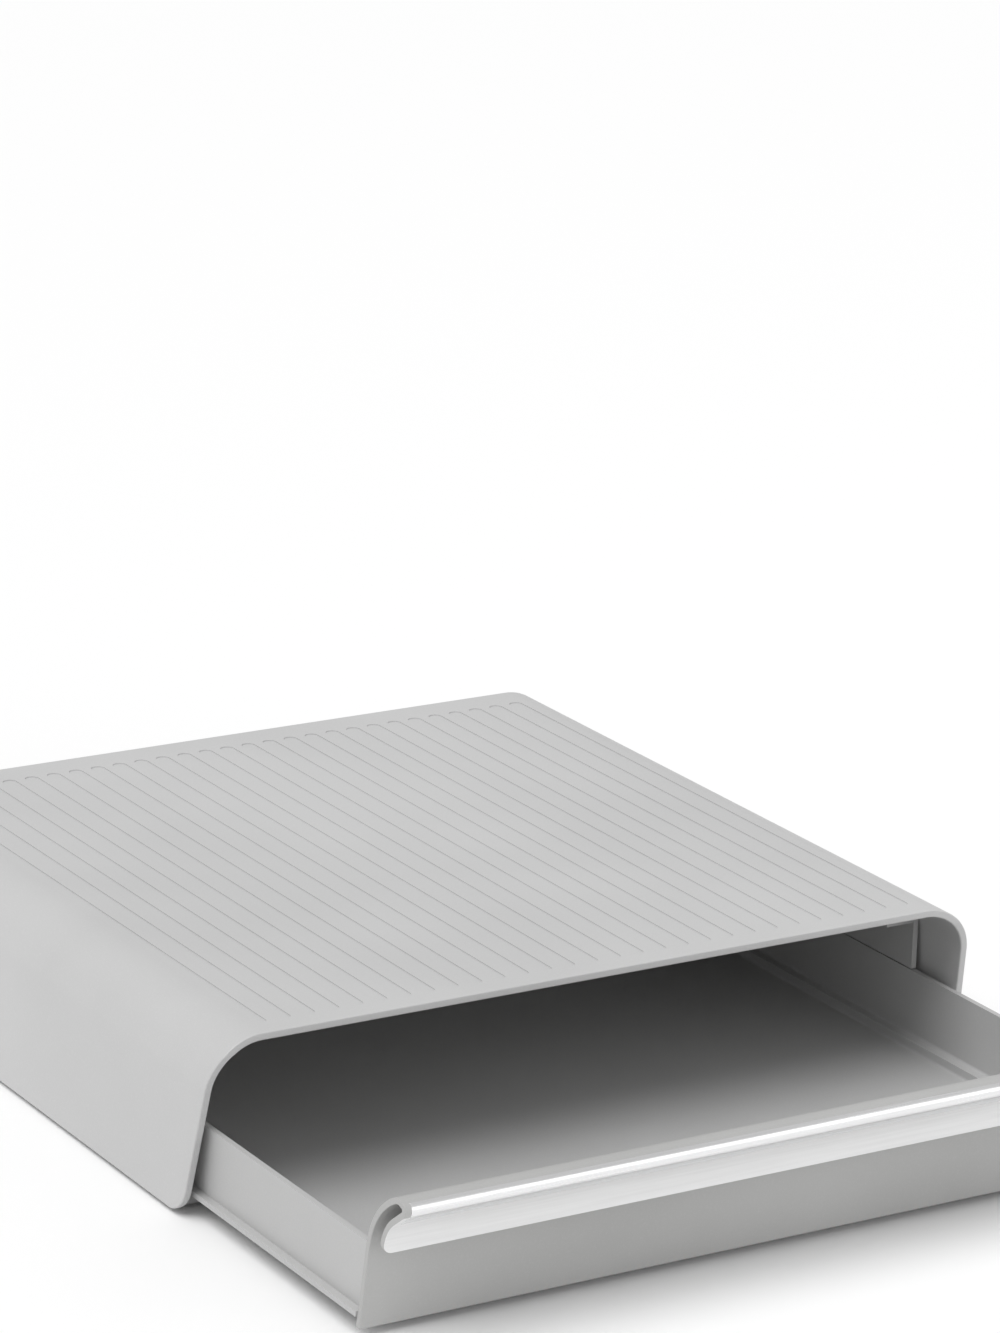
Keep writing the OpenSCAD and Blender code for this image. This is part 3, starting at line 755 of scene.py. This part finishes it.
def makeTray():
    thick = tray["thick"]
    sideX = trayHigh.x - tray["flange"]
    panX = sideX - tray["panSide"]
    body = leanBlock("sliding_tray", sideX, tray["ledgeZ"], trayHigh.z, 0, tray["corner"])
    pan = leanBlock("pan", panX, trayLow.z, tray["ledgeZ"] + thick / 2, tray["step"], tray["corner"])
    combine(body, pan, "UNION")
    flange = leanBlock("flange", trayHigh.x, tray["ledgeZ"] + tray["step"], tray["ledgeZ"] + thick,
                       2 * tray["step"], 0)
    combine(body, flange, "UNION")
    upper = leanBlock("upper_hollow", sideX - thick, tray["ledgeZ"] + thick, trayHigh.z + overshoot, thick,
                      tray["corner"] - thick)
    roundEdges(upper, tray["fillet"], 3, foldAngle)
    combine(body, upper, "DIFFERENCE")
    lower = leanBlock("lower_hollow", panX - thick, trayLow.z + thick, tray["ledgeZ"] + 2 * thick,
                      thick + tray["step"], tray["corner"] - thick)
    roundEdges(lower, tray["fillet"], 3, foldAngle)
    combine(body, lower, "DIFFERENCE")
    roundEdges(body, tray["edgeRound"], 3, foldAngle)
    stops = []
    stopRear = trayHigh.y - tray["corner"]
    stopZ = trayHigh.z - tray["stopBelowRim"]
    for side in (-1, 1):
        edges = sorted([side * (sideX - overlap), side * (sideX + tray["stopProud"])])
        stop = addBox("stop", (edges[0], stopRear - tray["stopLength"], stopZ - tray["stopHigh"]),
                      (edges[1], stopRear, stopZ))
        roundEdges(stop, tray["stopRound"], 2)
        stops.append(stop)
    join(body, stops)
    smooth(body)
    handOver(body, "drawer", "tray", trayPlastic)


makeTray()
print("stage: tray")


screw = {
    "headRadius": mm(2.7),
    "headHigh": mm(1.7),
    "headSides": 40,
    "washerRadius": mm(4.35),
    "headRound": mm(0.8),
    "headSteps": 4,
    "crossWide": mm(0.75),
    "crossLong": mm(2.9),
    "crossDeep": mm(0.9),
    "shankRadius": mm(1.15),
    "shankSides": 20,
    "shankInHead": mm(0.3),
    "caseLength": mm(9.3),
    "frontLength": mm(3.4),
}


# pan head with a cross recess, its seat at the origin and its head up +Z
def makeScrew(headRadius, length):
    head = addRod("screw_head", (0, 0, 0), (0, 0, 1), headRadius, screw["headHigh"], screw["headSides"])
    startEdit(head)
    pick(head, "edges", lambda e: all(v.co.z > screw["headHigh"] / 2 for v in e.verts))
    bpy.ops.mesh.bevel(offset=screw["headRound"], segments=screw["headSteps"], profile=0.5, affect="EDGES")
    endEdit()
    wide, long = screw["crossWide"] / 2, screw["crossLong"] / 2
    floor = screw["headHigh"] - screw["crossDeep"]
    slot = addBox("slot", (-wide, -long, floor), (wide, long, overshoot))
    other = addBox("slot", (-long, -wide, floor), (long, wide, overshoot))
    combine(slot, other, "UNION")
    combine(head, slot, "DIFFERENCE")
    shank = addRod("shank", (0, 0, screw["shankInHead"]), (0, 0, -1), screw["shankRadius"], length,
                   screw["shankSides"])
    join(head, [shank])
    return head


# copies the screw to each place, its head pointing out along a direction
def placeScrews(name, model, places):
    copies = []
    for place, direction in places:
        selectOnly(model)
        bpy.ops.object.duplicate(linked=False)
        copy = bpy.context.object
        copy.location = place
        copy.rotation_euler = Vector(direction).to_track_quat("Z", "Y").to_euler()
        bpy.ops.object.transform_apply(location=True, rotation=True, scale=True)
        copies.append(copy)
    bpy.data.objects.remove(model)
    group = join(copies[0], copies[1:])
    group.name = name
    smooth(group)
    return group


def makeScrews():
    headZ = guideHigh.z - inside["guideThick"]
    places = [((x, y, headZ), (0, 0, -1)) for x, y in bossPlaces()]
    screwLow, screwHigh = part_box("case_screws")
    rearX = screwHigh.x - screw["headRadius"]
    rearZ = screwLow.z + screw["headRadius"]
    places += [((side * rearX, shellHigh.y, rearZ), (0, 1, 0)) for side in (-1, 1)]
    model = makeScrew(screw["headRadius"], screw["caseLength"])
    group = placeScrews("case_screw_set", model, places)
    handOver(group, "case", "case_screws", screwSteel)

    back = -facingLean(front["lean"])
    places = [(place + back * tray["thick"], back) for place in frontScrewPlaces()]
    model = makeScrew(screw["washerRadius"], screw["frontLength"])
    group = placeScrews("front_screw_set", model, places)
    handOver(group, "drawer", "front_screws", screwSteel)


rubberParts = {
    "footRound": mm(0.7),
    "footSides": 48,
    "padRound": mm(0.55),
    "padSides": 40,
    "stemRadius": mm(1.5),
    "stemInPad": mm(0.2),
    "stemSides": 24,
}


def makeFeet():
    for place in ("front_left", "front_right", "rear_left", "rear_right"):
        low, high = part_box("foot_" + place)
        middleX, middleY = (low.x + high.x) / 2, (low.y + high.y) / 2
        foot = addRod("rubber_foot_" + place, (middleX, middleY, 0), (0, 0, 1), (high.x - low.x) / 2, high.z,
                      rubberParts["footSides"])
        roundEdges(foot, rubberParts["footRound"], 3, foldAngle)
        smooth(foot)
        handOver(foot, "case", "foot_" + place, rubber)


def makeBuffers():
    low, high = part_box("rear_buffers")
    radius = (high.z - low.z) / 2
    faceY = shellHigh.y - panel["thick"]
    pads = []
    for side in (-1, 1):
        x = side * (high.x - radius)
        pad = addRod("pad", (x, faceY, low.z + radius), (0, -1, 0), radius, faceY - low.y,
                     rubberParts["padSides"])
        roundEdges(pad, rubberParts["padRound"], 3, foldAngle)
        stemY = faceY - rubberParts["stemInPad"]
        stem = addRod("stem", (x, stemY, low.z + radius), (0, 1, 0), rubberParts["stemRadius"],
                      panel["thick"] + rubberParts["stemInPad"], rubberParts["stemSides"])
        pads += [pad, stem]
    group = join(pads[0], pads[1:])
    group.name = "rubber_buffer_pair"
    smooth(group)
    handOver(group, "case", "rear_buffers", rubber)


makeScrews()
makeFeet()
makeBuffers()
# the runners and guides keep their own meshes, in the plastic of the tray
for name in ("runner_left", "runner_right", "guide_left", "guide_right"):
    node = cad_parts[name]
    node.data.materials.clear()
    node.data.materials.append(trayPlastic)
print("stage: screws and rubber parts")


# pale floor and soft light from the upper left, with a low card in front at the right
stage = {
    "floorSize": 40,
    "floorColour": (0.97, 0.97, 0.97),
    "floorRoughness": 0.9,
    "skyColour": (1, 1, 1),
    "skyStrength": 0.54,
    "sunStrength": 1.62,
    "sunAzimuth": deg(-100),
    "sunHeight": deg(66),
    "sunSpread": deg(50),
    "cardPlace": (1.25, -2.1, 0.62),
    "cardSize": (2.6, 1.2),
    "cardPower": 10,
}


def makeStage():
    bpy.ops.object.select_all(action="DESELECT")
    bpy.ops.mesh.primitive_plane_add(size=stage["floorSize"], location=(0, 0, 0))
    floor = settle("floor")
    material, nodes, _ = newMaterial("pale_floor")
    shader = nodes["Principled BSDF"]
    shader.inputs["Base Color"].default_value = (*stage["floorColour"], 1)
    shader.inputs["Roughness"].default_value = stage["floorRoughness"]
    shader.inputs["Specular IOR Level"].default_value = 0
    floor.data.materials.append(material)

    world = bpy.data.worlds.new("studio")
    bpy.context.scene.world = world
    world.use_nodes = True
    sky = world.node_tree.nodes["Background"]
    sky.inputs["Color"].default_value = (*stage["skyColour"], 1)
    sky.inputs["Strength"].default_value = stage["skyStrength"]

    sun = bpy.data.lights.new("key_light", "SUN")
    sun.energy = stage["sunStrength"]
    sun.angle = stage["sunSpread"]
    lamp = bpy.data.objects.new("key_light", sun)
    bpy.context.scene.collection.objects.link(lamp)
    azimuth, height = stage["sunAzimuth"], stage["sunHeight"]
    towards = Vector((math.sin(azimuth) * math.cos(height), math.cos(azimuth) * math.cos(height),
                      math.sin(height)))
    lamp.rotation_euler = towards.to_track_quat("Z", "Y").to_euler()

    # a low white card at the right, seen as the bright line on the nose
    card = bpy.data.lights.new("fill_card", "AREA")
    card.shape = "RECTANGLE"
    card.size, card.size_y = stage["cardSize"]
    card.energy = stage["cardPower"]
    lamp = bpy.data.objects.new("fill_card", card)
    bpy.context.scene.collection.objects.link(lamp)
    lamp.location = stage["cardPlace"]
    lamp.rotation_euler = Vector(stage["cardPlace"]).to_track_quat("Z", "Y").to_euler()

    bpy.context.scene.view_settings.view_transform = "Standard"


# the photograph's viewing angle, from the middle of the shell's front edge at floor level
camera = {
    "fromShellFront": Vector((-0.99416, -1.562445, 0.74882)),
    "azimuth": deg(-30.57),
    "elevation": deg(18.55),
    "roll": deg(1.258),
    "focalPixels": 5295.9,
    "imageWidth": 1000,
    "imageHeight": 1333,
    "centrePixelX": 445.1,
    "centrePixelY": 825.2,
    "sensorWidth": 36,
    "clipFrom": 0.05,
    "clipTo": 100,
}


def makeCamera():
    data = bpy.data.cameras.new("camera")
    eye = bpy.data.objects.new("camera", data)
    bpy.context.scene.collection.objects.link(eye)
    bpy.context.scene.camera = eye
    azimuth, elevation, roll = camera["azimuth"], camera["elevation"], camera["roll"]
    forward = Vector((-math.sin(azimuth) * math.cos(elevation), math.cos(azimuth) * math.cos(elevation),
                      -math.sin(elevation)))
    level = Vector((math.cos(azimuth), math.sin(azimuth), 0))
    upright = level.cross(forward)
    right = level * math.cos(roll) + upright * math.sin(roll)
    up = right.cross(forward)
    turn = Matrix((right, up, -forward)).transposed()
    eye.location = Vector((0, shellLow.y, 0)) + camera["fromShellFront"]
    eye.rotation_euler = turn.to_euler()
    longSide = camera["imageHeight"]
    data.sensor_width = camera["sensorWidth"]
    data.lens = camera["focalPixels"] / longSide * data.sensor_width
    data.shift_x = (camera["imageWidth"] / 2 - camera["centrePixelX"]) / longSide
    data.shift_y = (camera["centrePixelY"] - camera["imageHeight"] / 2) / longSide
    data.clip_start = camera["clipFrom"]
    data.clip_end = camera["clipTo"]


makeStage()
makeCamera()
print("stage: floor, light and camera")
